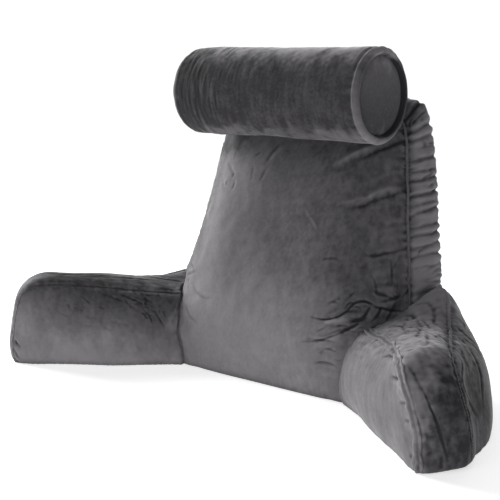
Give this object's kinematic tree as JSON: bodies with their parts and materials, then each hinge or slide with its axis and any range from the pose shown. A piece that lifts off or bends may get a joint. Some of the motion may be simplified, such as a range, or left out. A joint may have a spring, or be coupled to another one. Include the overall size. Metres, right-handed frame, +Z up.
{
  "type": "backrest pillow",
  "caption": "Reading pillow with a reclined back cushion, two arm bolsters that splay forwards and a neck roll across the top, in plush with piped seams.",
  "frame": {"origin": "middle of the back cushion's flat underside", "axes": "+Z up, the sitter faces -Y, +X towards the arm on the right of the picture"},
  "size_m": [1.0782, 0.4934, 0.6356],
  "materials": {
    "plush_cover": "short-pile velvet plush, brushed nap",
    "plush_welt": "self-fabric welt of the same plush"
  },
  "bodies": {
    "root": {"back_cushion": "plush_cover", "arm_right": "plush_cover", "arm_left": "plush_cover", "neck_roll": "plush_cover", "welt_back_front": "plush_welt", "welt_back_rear": "plush_welt", "welt_right_inner": "plush_welt", "welt_right_outer": "plush_welt", "welt_left_inner": "plush_welt", "welt_left_outer": "plush_welt"}
  },
  "joints": []
}
